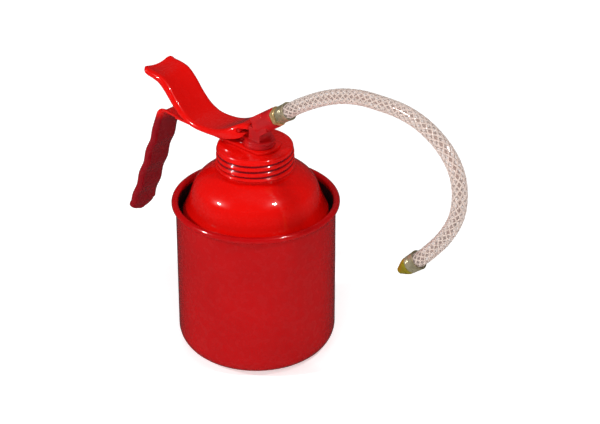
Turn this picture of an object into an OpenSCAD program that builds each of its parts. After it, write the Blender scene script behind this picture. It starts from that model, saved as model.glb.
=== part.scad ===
// Hand-lever pump oiler: a drawn can with a domed top, a screw cap that carries
// the pump, a rocking thumb lever over a strip handle, and a clear braided hose.
// Millimetres. +Z up, origin at the centre of the can's base, +X towards the hose.

/* [Can] */
// Outside diameter of the can body
can_d = 95; // [90:1:97]
// Height of the rolled rim above the ground
can_h = 98; // [94:1:110]
// Radius of the drawn corner between the wall and the base
corner_r = 13; // [8:1:16]
// Thickness of the pressed sheet
sheet = 0.8; // [0.6:0.1:1]

/* [Cap] */
// Outside diameter over the thread ridges of the screw cap
cap_d = 46; // [45:0.5:47]
// Rise of the rolled thread for one turn
pitch = 3.6; // [3:0.1:4.2]

/* [Handle] */
// Width of the handle strip
strip_w = 20; // [18:1:22]
// Thickness of the handle strip
strip_t = 1.6; // [1.2:0.1:1.8]
// Lean of the grip away from the vertical
grip_lean = 21; // [10:1:28]
// Length of the straight grip below the bend
grip_len = 84; // [70:1:95]
// Height of the finger waves
wave_h = 0.8; // [0:0.1:1.2]

/* [Lever] */
// Width of the thumb lever
lever_w = 24.8; // [24.4:0.1:27]
// Thickness of the lever plate
lever_t = 1.2; // [1:0.1:1.3]

/* [Pump] */
// Bore of the pump barrel
bore_d = 9; // [8:0.5:9.5]
// Diameter of the piston rod
rod_d = 3.2; // [2.8:0.1:3.4]
// Slope of the outlet boss above the horizontal
boss_rise = 36; // [34:1:38]

/* [Hose] */
// Outside diameter of the braided hose
hose_d = 9; // [8:0.5:9]

/* [Hidden] */

$fn = 72;
eps = 0.01;
facets = 32; // segments round the threaded shells

// can and dome
can_r = can_d / 2;
bead_r = 2;
rim_z = can_h - bead_r;
dome_r = 38.2;
dome_rise = 20;
dome_z = can_h + 3.8;
edge_r = 43.4;
edge_z = can_h - 7.5;
gutter_z = edge_z - 7;
neck_r = 20.5;

// cap stack
neck_z0 = dome_z + 16;
cap_z0 = can_h + 22.6;
cap_h = 13.15;
cap_top = cap_z0 + cap_h;
cap_r = cap_d / 2 - 0.6;
ridge = 0.45;
thread_gap = 0.3;
neck_top = cap_top - sheet - 1.75;
strip_z = cap_top;
plate_z = strip_z + strip_t;

// pump: rod axis and outlet block
rod_x = -5.5;
rod_r = rod_d / 2;
bore_r = bore_d / 2;
block_x = 4;
pin_z = plate_z + 8.2;
pin_r = 1;
collar_h = 4;
lobe_top = plate_z + collar_h;
shank_r = 7.5;
barrel_r = 6;
barrel_z0 = cap_top - 42;
barrel_z1 = cap_top - 4;
piston_z = barrel_z0 + 9;
spring_z0 = piston_z + 5.25;
spring_z1 = barrel_z1 + 1.8;
tube_r = 3;
valve_h = 9;
valve_z = barrel_z0 - valve_h;
strainer_z = 6.5;
tube_z0 = strainer_z + 4.5;

// outlet boss and its end face
boss_r = 6;
boss_end = [17.8, plate_z + 22.3];

// lever: rocks on a bead pressed across the strip
fulcrum_x = -36;
fulcrum_z = plate_z - 0.35;

// hose ends: where it enters each ferrule
hose_r = hose_d / 2;
tip_dir = [-0.73, -0.1, -0.675];
HOSE = [[24, 0, 162], [36, 0, 171], [51.5, 0, 180.5], [66.5, 0, 187.5], [81.5, -0.5, 192],
    [96.5, -1, 194], [111.5, -1, 194.5], [126, -1.5, 192.5], [139, -2, 187], [148.5, -2.5, 179.5],
    [154.5, -3, 170], [157, -4, 158], [155, -4.5, 145], [148, -5.5, 131], [137, -6.5, 117],
    [128.5, -7.5, 108.5]];

// Points on the lever's top line from nose to thumb end, at the width lever_w0:
// x, height above the strip, half width, depth of the turned-down edge, dish
lever_w0 = 24.8;
LEVER = [[-1.3, 12.4, 5.6, 5.4, 0], [-5.5, 11.8, 7.6, 7.6, 0], [-10, 9.6, 10.4, 7.6, 0],
    [-15, 6.6, 12.2, 5.8, 0], [-22, 3.9, 12.4, 3.8, 0], [-29, 2.6, 12.4, 3.1, 0],
    [-36, 2.2, 12.4, 2.9, 0], [-42, 3.0, 12.4, 3, 0.1], [-48, 5.8, 12.4, 3.3, 0.3],
    [-54, 11, 12.4, 3.7, 0.5], [-60, 17.8, 12.4, 4, 0.6], [-66, 22.6, 12.4, 4, 0.8],
    [-72, 24.2, 12.4, 3.8, 1], [-78, 24.5, 12.4, 3.2, 1.2], [-83, 25.1, 12.2, 2.4, 1.4]];

// ---- helpers ---------------------------------------------------------------

// one point of a Catmull-Rom curve through the rows of a table
function spline(a, b, c, d, u) =
    0.5 * (2 * b + (c - a) * u + (2 * a - 5 * b + 4 * c - d) * u * u
        + (3 * b - a - 3 * c + d) * u * u * u);

// a table refined to n rows for each of its own
function refine(t, n) = let (m = len(t) - 1)
    [for (i = [0 : m - 1], k = [0 : n - 1])
        spline(t[max(i - 1, 0)], t[i], t[i + 1], t[min(i + 2, m)], k / n), t[m]];

// side faces of a sweep of m rings with n points each
function sides(m, n) = [for (i = [0 : m - 2], j = [0 : n - 1])
    [i * n + j, (i + 1) * n + j, (i + 1) * n + (j + 1) % n, i * n + (j + 1) % n]];

// the same sweep closed by a flat face at each end
function skin(m, n) = concat(
    [[for (j = [0 : n - 1]) j]], sides(m, n), [[for (j = [n - 1 : -1 : 0]) (m - 1) * n + j]]);

// end of a channel section, from its outer points to the ones under them
function plate_end(first) = [for (j = [0 : 9]) [for (k = [j, j + 1, 20 - j, 21 - j]) first + k]];

// the same faces wound the other way
function turned_out(faces) = [for (f = faces) [for (k = [len(f) - 1 : -1 : 0]) f[k]]];

// section of a pressed channel: half width w, edge depth d, plate t, dish
function channel(w, d, t, dish) =
    let (r = min(2.6, d - 0.2),
        q = max(r - t, 0.3),
        side = [[w, -d], [w, -r], [w - 0.29 * r, -0.29 * r], [w - r, 0], [0.45 * (w - r), -0.8 * dish]],
        under = [[w - t, -d], [w - t, -r], [w - t - 0.29 * q, -t - 0.29 * q],
            [w - t - q, -t], [0.45 * (w - t - q), -t - 0.8 * dish]])
    concat(
        [for (p = side) [-p[0], p[1]]], [[0, -dish]], [for (i = [4 : -1 : 0]) side[i]],
        under, [[0, -t - dish]], [for (i = [4 : -1 : 0]) [-under[i][0], under[i][1]]]);

// a sweep in the XZ plane: rows of [x, z, half width, depth, dish], plate t,
// flip = 1 when the rows run along the lever, -1 under the handle
module pressed(rows, t, flip, scoop) {
    m = len(rows);
    pts = [for (i = [0 : m - 1])
        let (a = rows[max(i - 1, 0)], b = rows[min(i + 1, m - 1)],
            l = norm([b[0] - a[0], b[1] - a[1]]),
            nx = flip * (b[1] - a[1]) / l,
            nz = -flip * (b[0] - a[0]) / l,
            r = rows[i])
        for (p = channel(r[2], r[3], t, r[4]))
            [r[0] + nx * p[1] + (i == m - 1 ? scoop * (1 - pow(p[0] / r[2], 2)) : 0),
                p[0], r[1] + nz * p[1]]];
    faces = concat(plate_end(0), sides(m, 22), turned_out(plate_end((m - 1) * 22)));
    polyhedron(points = pts, faces = flip > 0 ? faces : turned_out(faces), convexity = 6);
}

// radius of the rolled thread at height z and angle a: right-handed ridges
function thread_r(z, a) =
    let (fade = min(1, max(0, (cap_top - 1.6 - z) / 1.2)))
    cap_r + 0.03 * (cap_top - z) + ridge * fade * cos(360 * (z - cap_top) / pitch - a + 150);

// heights of the rows down a threaded wall
function rows_z(z0, z1, n) = [for (i = [0 : n]) z0 + (z1 - z0) * i / n];

// a closed shell of revolution from one closed outline of n points at each angle
module turned(rings, n) {
    polyhedron(
        points = [for (ring = rings) each ring],
        faces = [for (i = [0 : facets - 1], j = [0 : n - 1])
            [i * n + (j + 1) % n, ((i + 1) % facets) * n + (j + 1) % n,
                ((i + 1) % facets) * n + j, i * n + j]],
        convexity = 8);
}

// point (r, z) turned to angle a
function around(p, a) = [p[0] * cos(a), p[0] * sin(a), p[1]];

// axis helper: +Z becomes the direction of the outlet boss, from its end face
module on_boss(t) {
    translate([boss_end[0], 0, boss_end[1]]) rotate([0, 90 - boss_rise, 0]) translate([0, 0, t]) children();
}

// axis helper for the far end of the hose: +Z becomes the tip's direction
module on_tip(t) {
    yaw = atan2(tip_dir[1], tip_dir[0]);
    tilt = acos(tip_dir[2] / norm(tip_dir));
    translate(HOSE[len(HOSE) - 1]) rotate([0, 0, yaw]) rotate([0, tilt, 0]) translate([0, 0, t]) children();
}

module ring(r1, r0, h) {
    difference() {
        cylinder(r = r1, h = h);
        translate([0, 0, -1]) cylinder(r = r0, h = h + 2);
    }
}

module hex(af, h) {
    cylinder(d = af / cos(30), h = h, $fn = 6);
}

// a round wire wound along Z: mean radius r, wire radius w, closed ground ends
module coil(r, w, z0, z1, turns, steps, sides) {
    m = turns * steps;
    pts = [for (i = [0 : m])
        let (a = 360 * i / steps, z = z0 + w + (z1 - z0 - 2 * w) * i / m)
        for (k = [0 : sides - 1])
            [(r + w * cos(360 * k / sides)) * cos(a), (r + w * cos(360 * k / sides)) * sin(a),
                z + w * sin(360 * k / sides)]];
    polyhedron(points = pts, faces = skin(m + 1, sides), convexity = 10);
}

// ---- can -------------------------------------------------------------------

module pot(r, c, z) {
    square([r - c, z]);
    translate([0, c]) square([r, z - c]);
    translate([r - c, c]) circle(c);
}

module can_body() {
    color("crimson") rotate_extrude() {
        difference() {
            pot(can_r, corner_r, rim_z);
            translate([0, sheet]) pot(can_r - sheet, corner_r - sheet, can_h);
        }
        translate([can_r + 0.5, rim_z]) circle(bead_r);
    }
}

// point of the crown's ellipse at angle u from the top
function crown_pt(u) = [dome_r * sin(u), dome_z + dome_rise * cos(u)];

// point of the flare from the crown, which ends at angle flare_u, to the dome's edge
flare_u = 70;
function flare_pt(t) =
    pow(1 - t, 3) * crown_pt(flare_u) + 3 * t * pow(1 - t, 2) * (crown_pt(flare_u) + [1.7, -2.4])
        + 3 * t * t * (1 - t) * [dome_r + 0.7, dome_z - 2.8] + pow(t, 3) * [edge_r, edge_z];

module dome() {
    n = 14;
    flare_n = 10;
    neck_u = asin(neck_r / dome_r);
    step = (flare_u - neck_u) / n;
    outer = concat(
        [for (i = [0 : n]) crown_pt(neck_u + step * i)],
        [for (i = [1 : flare_n]) flare_pt(i / flare_n)]);
    inner = [for (i = [len(outer) - 1 : -1 : 0])
        outer[i] - [sheet, i > n ? sheet / 2 : sheet * cos(neck_u + step * i)]];
    gutter = [[edge_r, gutter_z + sheet], [can_r - sheet, gutter_z + sheet],
        [can_r - sheet, gutter_z], [edge_r - sheet, gutter_z]];
    color("red") rotate_extrude() polygon(concat(outer, gutter, inner));
}

// ---- neck, gasket and cap ---------------------------------------------------

module neck_collar() {
    n = 22;
    gap = sheet + thread_gap;
    zs = rows_z(neck_z0, neck_top, n);
    rings = [for (i = [0 : facets - 1]) let (a = 360 * i / facets)
        [for (z = zs) around([thread_r(z, a) - gap, z], a),
            around([cap_r - gap - ridge - 0.6, neck_top], a),
            around([cap_r - gap - ridge - 0.6, neck_z0], a)]];
    color("red") turned(rings, n + 3);
}

module cap_gasket() {
    color("dimgray") translate([0, 0, neck_top]) ring(cap_r - 1.3, cap_r - 4.4, cap_top - sheet - neck_top);
}

module screw_cap() {
    n = 20;
    lip = [[cap_r + 1.25, cap_z0 + 0.9], [cap_r + 1.1, cap_z0 + 0.2], [cap_r + 0.7, cap_z0]];
    zo = rows_z(cap_z0 + 1.6, cap_top - 1.4, n);
    zi = rows_z(cap_top - sheet, cap_z0, n);
    rings = [for (i = [0 : facets - 1]) let (a = 360 * i / facets)
        [for (k = [2 : -1 : 0]) around(lip[k], a),
            for (z = zo) around([thread_r(z, a), z], a),
            around([cap_r - 0.35, cap_top - 0.45], a),
            around([cap_r - 1.3, cap_top], a),
            for (z = zi) around([thread_r(z, a) - sheet, z], a)]];
    color("red") difference() {
        union() {
            turned(rings, 2 * n + 7);
            translate([0, 0, cap_top - sheet]) cylinder(r = cap_r - 1.2, h = sheet);
        }
        translate([rod_x, 0, cap_top - 3]) cylinder(r = shank_r + 0.05, h = 6);
    }
}

// ---- handle ----------------------------------------------------------------

// underside line of the strip, the bend and the grip, each row
// [x, z, half width, depth of the turned edge, dish]
bend_x = -65.5;
bend_r = 5;
grip_w = 9.6;
function grip_row(s) =
    let (a = 90 - grip_lean,
        x0 = bend_x - bend_r * sin(a),
        z0 = strip_z - bend_r + bend_r * cos(a),
        wave = wave_h * (0.5 - 0.5 * cos(360 * (s - 12) / 19.5)) * (s > 12 && s < 78 ? 1 : 0),
        tail = s > grip_len - 9 ? sqrt(max(0.1, 1 - pow((s - grip_len + 9) / 9, 2))) : 1)
    [x0 - s * cos(a) + wave * sin(a), z0 - s * sin(a) - wave * cos(a),
        grip_w * tail, 4 * (0.4 + 0.6 * tail), 0];

module handle() {
    strip_rows = [for (i = [0 : 4]) [-56 + i * (bend_x + 56) / 4, strip_z,
        strip_w / 2, strip_t + 0.3 + i * 0.2, 0]];
    bend_rows = [for (i = [1 : 6]) let (a = (90 - grip_lean) * i / 6)
        [bend_x - bend_r * sin(a), strip_z - bend_r + bend_r * cos(a),
            strip_w / 2 + (grip_w - strip_w / 2) * i / 6, 2.7 + 1.3 * i / 6, 0]];
    grip_rows = [for (s = [3 : 3 : grip_len - 9]) grip_row(s)];
    tail_rows = [for (s = [6.5, 4, 2, 0.8, 0]) grip_row(grip_len - s)];
    color("red") difference() {
        union() {
            translate([0, 0, strip_z]) intersection() {
                translate([-57, -strip_w / 2, 0]) cube([80, strip_w, strip_t]);
                union() {
                    translate([-62, -20, 0]) cube([62, 40, strip_t]);
                    cylinder(r = 15.5, h = strip_t);
                }
            }
            pressed(concat(strip_rows, bend_rows, grip_rows, tail_rows), strip_t, -1, 0);
            intersection() {
                translate([fulcrum_x, 9, fulcrum_z]) rotate([90, 0, 0]) cylinder(r = 1.2, h = 18);
                translate([fulcrum_x - 5, -10, strip_z + 0.5]) cube([10, 20, 5]);
            }
        }
        translate([rod_x, 0, strip_z - 1]) cylinder(r = shank_r + 0.05, h = strip_t + 2);
    }
}

// ---- pump head -------------------------------------------------------------

chamber_r = 2.6;
chamber_top = plate_z + 15;

module pump_head() {
    color("firebrick") difference() {
        union() {
            translate([block_x - 0.4, 0, plate_z]) cylinder(r = 9.6, h = collar_h / 2);
            translate([block_x - 0.4, 0, plate_z + collar_h / 2]) cylinder(r = 8.8, h = collar_h / 2);
            translate([rod_x, 0, plate_z]) cylinder(r = 5.2, h = collar_h);
            translate([rod_x, -5.2, plate_z]) cube([8, 10.4, collar_h]);
            translate([-0.3, -5.2, plate_z]) cube([8.8, 10.4, 12]);
            intersection() {
                union() {
                    on_boss(-24) cylinder(r = boss_r, h = 24);
                    on_boss(-24) translate([-boss_r, -5.2, 0]) cube([2 * boss_r, 10.4, 16]);
                }
                translate([-0.3, -10, plate_z + 4]) cube([40, 20, 60]);
            }
            translate([rod_x, 0, barrel_z1 - 10]) cylinder(r = shank_r, h = plate_z - barrel_z1 + 10 + eps);
        }
        // barrel socket, upper chamber, rod bore and gland recess
        translate([rod_x, 0, barrel_z1 - 11]) cylinder(r = barrel_r, h = 11);
        translate([rod_x, 0, barrel_z1 - 1]) cylinder(r = bore_r, h = 3);
        translate([rod_x, 0, barrel_z1]) cylinder(r = rod_r + 0.05, h = 20);
        translate([rod_x, 0, plate_z + 1]) cylinder(r = 2.6, h = 10);
        // passage to the outlet valve, its chamber and the boss bore
        translate([rod_x + 3.75, 0, barrel_z1]) cylinder(r = 0.7, h = plate_z + 2 - barrel_z1);
        translate([rod_x + 3.75, 0, plate_z + 2]) rotate([0, 90, 0]) cylinder(r = 0.7, h = block_x - rod_x - 3.75);
        translate([block_x, 0, plate_z - 1]) cylinder(r = chamber_r, h = chamber_top - plate_z + 1);
        on_boss(-15.5) cylinder(r = 2, h = 16);
        on_boss(-5) cylinder(r = 4, h = 6);
    }
}

module head_washer() {
    color("silver") translate([rod_x, 0, cap_top - sheet - 1.2]) ring(11, shank_r + 0.05, 1.2);
}

module head_nut() {
    color("silver") translate([rod_x, 0, cap_top - sheet - 6.2]) difference() {
        hex(19, 5);
        translate([0, 0, -1]) cylinder(r = shank_r, h = 7);
    }
}

module gland_nut() {
    color("firebrick") translate([rod_x, 0, lobe_top]) difference() {
        union() {
            hex(7, 1.9);
            translate([0, 0, -1]) cylinder(r = 2.6, h = 1.5);
        }
        translate([0, 0, -2]) cylinder(r = rod_r + 0.05, h = 6);
    }
}

module rod_seal() {
    color("black") translate([rod_x, 0, plate_z + 1]) ring(2.6, rod_r + 0.02, 2);
}

module piston_rod() {
    color("silver") difference() {
        translate([rod_x, 0, piston_z]) cylinder(r = rod_r, h = pin_z + pin_r + 0.25 - piston_z);
        translate([rod_x, 5, pin_z]) rotate([90, 0, 0]) cylinder(r = pin_r, h = 10);
    }
}

module link_pin() {
    color("red") translate([rod_x, 8.4, pin_z]) rotate([90, 0, 0]) cylinder(r = pin_r, h = 16.8);
}

module piston() {
    color("goldenrod") translate([rod_x, 0, piston_z]) difference() {
        union() {
            cylinder(r = bore_r - 0.08, h = 2);
            cylinder(r = 2.4, h = 5);
            translate([0, 0, 4]) cylinder(r = bore_r - 0.5, h = 1.2);
        }
        translate([0, 0, -1]) cylinder(r = rod_r, h = 8);
        for (a = [0 : 90 : 270]) rotate([0, 0, a + 45]) translate([3.2, 0, -1]) cylinder(r = 0.6, h = 8);
    }
}

module piston_cup() {
    color("black") translate([rod_x, 0, piston_z + 2]) ring(bore_r - 0.03, 2.4, 2);
}

module barrel() {
    color("goldenrod") translate([rod_x, 0, barrel_z0]) ring(barrel_r, bore_r, barrel_z1 - barrel_z0);
}

module return_spring() {
    color("silver") translate([rod_x, 0, 0]) coil(3, 0.45, spring_z0, spring_z1, 7, 12, 6);
}

// ---- inlet -----------------------------------------------------------------

module foot_valve() {
    color("goldenrod") translate([rod_x, 0, valve_z]) difference() {
        union() {
            hex(13, valve_h);
            translate([0, 0, valve_h - 1]) cylinder(r = bore_r, h = 5);
            translate([0, 0, -6]) cylinder(r = 4.4, h = 7);
        }
        translate([0, 0, 2]) cylinder(r = 2.8, h = valve_h + 4);
        translate([0, 0, -8]) cylinder(r = 1.4, h = 12);
        translate([0, 0, -8]) cylinder(r = tube_r, h = 8);
        translate([0, 6, 7.6]) rotate([90, 0, 0]) cylinder(r = 0.6, h = 12);
    }
}

module inlet_ball() {
    color("silver") translate([rod_x, 0, valve_z + 2 + sqrt(2.2 * 2.2 - 1.4 * 1.4) + 0.02]) sphere(r = 2.2);
}

module ball_stop() {
    color("silver") translate([rod_x, 5.8, valve_z + 7.6]) rotate([90, 0, 0]) cylinder(r = 0.6, h = 11.6);
}

module suction_tube() {
    color("silver") translate([rod_x, 0, tube_z0]) ring(tube_r, tube_r - 0.8, valve_z - tube_z0);
}

module strainer() {
    color("goldenrod") translate([rod_x, 0, strainer_z]) difference() {
        union() {
            cylinder(r = 5, h = 11);
            translate([0, 0, 10]) cylinder(r = 4, h = 4);
        }
        translate([0, 0, 0.8]) cylinder(r = 4.2, h = 9);
        translate([0, 0, 2]) cylinder(r = tube_r, h = 14);
        for (a = [0 : 45 : 315], z = [2.5, 5, 7.5])
            rotate([0, 0, a]) translate([0, 0, z]) rotate([0, 90, 0]) cylinder(r = 0.6, h = 8);
        for (a = [0 : 60 : 300]) rotate([0, 0, a]) translate([2.4, 0, -1]) cylinder(r = 0.6, h = 3);
    }
}

// ---- outlet ----------------------------------------------------------------

seat_z = plate_z + 6;

module outlet_seat() {
    color("goldenrod") translate([block_x, 0, plate_z]) difference() {
        cylinder(r = chamber_r, h = seat_z - plate_z);
        translate([0, 0, 2]) cylinder(r = 1.1, h = 8);
        translate([-5, 0, 2]) rotate([0, 90, 0]) cylinder(r = 0.7, h = 5);
    }
}

module outlet_ball() {
    color("silver") translate([block_x, 0, seat_z + sqrt(1.8 * 1.8 - 1.1 * 1.1) + 0.02]) sphere(r = 1.8);
}

module outlet_spring() {
    color("silver") translate([block_x, 0, 0]) coil(1.5, 0.25, seat_z + 3.25, chamber_top, 5, 10, 5);
}

// ---- lever -----------------------------------------------------------------

module lever() {
    rows = [for (r = refine(LEVER, 2)) [r[0], plate_z + r[1], r[2] * lever_w / lever_w0, r[3], r[4]]];
    color("red") difference() {
        pressed(rows, lever_t, 1, 2.2);
        // open slots in the nose that take the link pin
        translate([rod_x, 10, pin_z]) rotate([90, 0, 0]) cylinder(r = pin_r + 0.3, h = 20);
        translate([rod_x, -10, pin_z - pin_r - 0.3]) cube([9, 20, 2 * pin_r + 0.6]);
    }
}

// ---- hose and its fittings ----------------------------------------------------

module lock_nut() {
    color("darkkhaki") difference() {
        union() {
            on_boss(0) hex(10.2, 3.6);
            on_boss(-5) cylinder(r = 4, h = 5.5);
        }
        on_boss(-6) cylinder(r = 2, h = 12);
    }
}

module head_ferrule() {
    color("darkkhaki") difference() {
        union() {
            on_boss(3.6) hex(9, 3);
            on_boss(6.5) cylinder(r = 5.2, h = 1.1);
            on_boss(7.5) cylinder(r1 = 5.2, r2 = 5.5, h = 4.5, $fn = 48);
        }
        on_boss(3) cylinder(r = 1.5, h = 7);
        on_boss(7.5) cylinder(r = hose_r + 0.1, h = 8);
    }
}

function hose_frame(i) =
    let (m = len(HOSE) - 1, t = HOSE[min(i + 1, m)] - HOSE[max(i - 1, 0)],
        u = t / norm(t), s = cross(u, [0, 1, 0]))
    [s / norm(s), cross(u, s / norm(s))];

module hose() {
    sides = 10;
    color("mistyrose") polyhedron(
        points = [for (i = [0 : len(HOSE) - 1]) let (f = hose_frame(i))
            for (k = [0 : sides - 1])
                HOSE[i] + hose_r * (cos(360 * k / sides) * f[0] + sin(360 * k / sides) * f[1])],
        faces = skin(len(HOSE), sides), convexity = 4);
}

module tip_ferrule() {
    color("darkkhaki") difference() {
        union() {
            on_tip(-5.5) cylinder(r1 = 5.7, r2 = 5.2, h = 5.5, $fn = 48);
            on_tip(-0.5) cylinder(r = 5.2, h = 2);
        }
        on_tip(-8) cylinder(r = hose_r + 0.1, h = 8);
        on_tip(-1) cylinder(r = 1.5, h = 4);
    }
}

module nozzle_tip() {
    color("darkgoldenrod") difference() {
        union() {
            on_tip(1.5) cylinder(r = 4.9, h = 2.5);
            on_tip(4) cylinder(r1 = 4.9, r2 = 2, h = 7, $fn = 48);
        }
        on_tip(0) cylinder(r = 1.2, h = 14);
    }
}

can_body();
dome();
neck_collar();
cap_gasket();
screw_cap();
handle();
pump_head();
head_washer();
head_nut();
gland_nut();
rod_seal();
piston_rod();
link_pin();
piston();
piston_cup();
barrel();
return_spring();
foot_valve();
inlet_ball();
ball_stop();
suction_tube();
strainer();
outlet_seat();
outlet_ball();
outlet_spring();
lever();
lock_nut();
head_ferrule();
hose();
tip_ferrule();
nozzle_tip();
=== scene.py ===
import math

import bmesh
import bpy
import numpy as np
from mathutils import Matrix, Vector


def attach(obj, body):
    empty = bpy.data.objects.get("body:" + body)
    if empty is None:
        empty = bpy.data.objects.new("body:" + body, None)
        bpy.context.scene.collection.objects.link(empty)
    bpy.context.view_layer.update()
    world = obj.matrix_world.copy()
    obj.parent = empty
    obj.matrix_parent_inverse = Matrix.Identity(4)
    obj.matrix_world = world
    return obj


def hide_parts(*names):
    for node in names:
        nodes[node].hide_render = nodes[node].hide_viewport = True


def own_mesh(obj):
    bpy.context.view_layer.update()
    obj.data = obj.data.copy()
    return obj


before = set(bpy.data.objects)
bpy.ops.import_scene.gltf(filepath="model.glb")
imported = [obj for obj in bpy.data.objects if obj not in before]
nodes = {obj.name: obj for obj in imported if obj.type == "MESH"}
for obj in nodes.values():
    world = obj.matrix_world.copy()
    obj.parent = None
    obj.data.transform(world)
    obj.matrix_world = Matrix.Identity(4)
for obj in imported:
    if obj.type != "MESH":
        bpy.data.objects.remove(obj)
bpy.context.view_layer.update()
MM = 0.001

# ---- sizes shared with the CAD source, in millimetres -------------------------
CAN_R, RIM_Z, SHEET, CORNER = 47.5, 96.0, 0.8, 13.0
DOME_R, DOME_RISE, DOME_Z = 38.2, 20.0, 101.8
EDGE_R, EDGE_Z, GUTTER_Z = 43.4, 90.5, 83.5
NECK_R, NECK_Z0, NECK_TOP = 20.5, 117.8, 131.2
CAP_Z0, CAP_TOP, CAP_R, RIDGE, PITCH = 120.6, 133.75, 22.4, 0.45, 3.6
STRIP_T, STRIP_W, PLATE_Z = 1.6, 20.0, 135.35
ROD_X, BLOCK_X, PIN_Z, PIN_R = -5.5, 4.0, 143.55, 1.0
SHANK_R, BARREL_Z1 = 7.5, 129.75
LEVER_T, GRIP_LEN, GRIP_LEAN = 1.2, 84.0, 21.0
BOSS_END, BOSS_RISE, BOSS_R = (17.8, 157.65), 36.0, 6.0
TIP_DIR = Vector((-0.73, -0.1, -0.675))
HOSE_D = 9.0
HOSE = [(24, 0, 162), (36, 0, 171), (51.5, 0, 180.5), (66.5, 0, 187.5), (81.5, -0.5, 192),
        (96.5, -1, 194), (111.5, -1, 194.5), (126, -1.5, 192.5), (139, -2, 187),
        (148.5, -2.5, 179.5), (154.5, -3, 170), (157, -4, 158), (155, -4.5, 145),
        (148, -5.5, 131), (137, -6.5, 117), (128.5, -7.5, 108.5)]
LEVER = [(-1.3, 12.4, 5.6, 5.4, 0), (-5.5, 11.8, 7.6, 7.6, 0), (-10, 9.6, 10.4, 7.6, 0),
         (-15, 6.6, 12.2, 5.8, 0), (-22, 3.9, 12.4, 3.8, 0), (-29, 2.6, 12.4, 3.1, 0),
         (-36, 2.2, 12.4, 2.9, 0), (-42, 3.0, 12.4, 3, 0.1), (-48, 5.8, 12.4, 3.3, 0.3),
         (-54, 11, 12.4, 3.7, 0.5), (-60, 17.8, 12.4, 4, 0.6), (-66, 22.6, 12.4, 4, 0.8),
         (-72, 24.2, 12.4, 3.8, 1), (-78, 24.5, 12.4, 3.2, 1.2), (-83, 25.1, 12.2, 2.4, 1.4)]

# ---- camera -------------------------------------------------------------------
azimuth, elevation, distance = math.radians(43.3), math.radians(29.67), 1.291
back = Vector((math.sin(azimuth) * math.cos(elevation),
               -math.cos(azimuth) * math.cos(elevation), math.sin(elevation)))
right = Vector((math.cos(azimuth), math.sin(azimuth), 0))
up = back.cross(right)
camera = bpy.data.objects.new("camera", bpy.data.cameras.new("camera"))
bpy.context.scene.collection.objects.link(camera)
aim = Vector((0, 0, 0.060)) + right * 0.02625 + up * 0.02417
turn = Matrix((right, up, back)).transposed().to_4x4()
camera.matrix_world = Matrix.Translation(aim + back * distance) @ turn
camera.data.lens = 128.8
camera.data.sensor_width = 36
camera.data.clip_end = 20
bpy.context.scene.camera = camera

# ---- materials ----------------------------------------------------------------


class Mat:
    """A Principled material with a small vocabulary of procedural detail."""

    def __init__(self, name, color, roughness=0.4, metallic=0.0, **sockets):
        self.m = bpy.data.materials.new(name)
        self.m.use_nodes = True
        self.t = self.m.node_tree
        self.b = self.t.nodes["Principled BSDF"]
        self.color = (*color, 1.0)
        self.b.inputs["Base Color"].default_value = self.color
        self.b.inputs["Roughness"].default_value = roughness
        self.b.inputs["Metallic"].default_value = metallic
        for k, v in sockets.items():
            self.b.inputs[k.replace("_", " ")].default_value = v
        self.coord = self.t.nodes.new("ShaderNodeTexCoord").outputs["Object"]
        self.normal = None

    def node(self, kind, **props):
        n = self.t.nodes.new(kind)
        for k, v in props.items():
            setattr(n, k, v)
        return n

    def link(self, a, b):
        self.t.links.new(a, b)

    def scaled(self, scale):
        n = self.node("ShaderNodeMapping")
        n.inputs["Scale"].default_value = scale
        self.link(self.coord, n.inputs["Vector"])
        return n.outputs["Vector"]

    def noise(self, scale, detail=3.0, vector=None, roughness=0.5):
        n = self.node("ShaderNodeTexNoise")
        n.inputs["Scale"].default_value = scale
        n.inputs["Detail"].default_value = detail
        n.inputs["Roughness"].default_value = roughness
        self.link(self.coord if vector is None else vector, n.inputs["Vector"])
        return n.outputs["Fac"]

    def ramp(self, value, lo, hi, a=0.0, b=1.0):
        n = self.node("ShaderNodeMapRange")
        n.inputs["From Min"].default_value = lo
        n.inputs["From Max"].default_value = hi
        n.inputs["To Min"].default_value = a
        n.inputs["To Max"].default_value = b
        self.link(value, n.inputs["Value"])
        return n.outputs["Result"]

    def math(self, op, a, b=None, value=None):
        n = self.node("ShaderNodeMath", operation=op)
        self.link(a, n.inputs[0])
        if b is not None:
            self.link(b, n.inputs[1])
        if value is not None:
            n.inputs[1].default_value = value
        return n.outputs[0]

    def tint(self, fac, color):
        """Mixes another colour over what the base colour is so far."""
        n = self.node("ShaderNodeMix", data_type="RGBA")
        n.inputs[6].default_value = self.color
        socket = self.b.inputs["Base Color"]
        if socket.is_linked:
            self.link(socket.links[0].from_socket, n.inputs[6])
        n.inputs[7].default_value = (*color, 1.0)
        self.link(fac, n.inputs[0])
        self.link(n.outputs[2], socket)
        return self

    def rough(self, value):
        self.link(value, self.b.inputs["Roughness"])
        return self

    def bump(self, height, distance, strength=1.0, coat=False):
        n = self.node("ShaderNodeBump")
        n.inputs["Distance"].default_value = distance
        n.inputs["Strength"].default_value = strength
        self.link(height, n.inputs["Height"])
        if self.normal is not None:
            self.link(self.normal, n.inputs["Normal"])
        self.normal = n.outputs["Normal"]
        self.link(self.normal, self.b.inputs["Normal"])
        if coat:
            self.link(self.normal, self.b.inputs["Coat Normal"])
        return self

    def zone(self, axis, lo, hi):
        n = self.node("ShaderNodeSeparateXYZ")
        self.link(self.coord, n.inputs[0])
        return self.ramp(n.outputs["XYZ".index(axis)], lo * MM, hi * MM)


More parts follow.
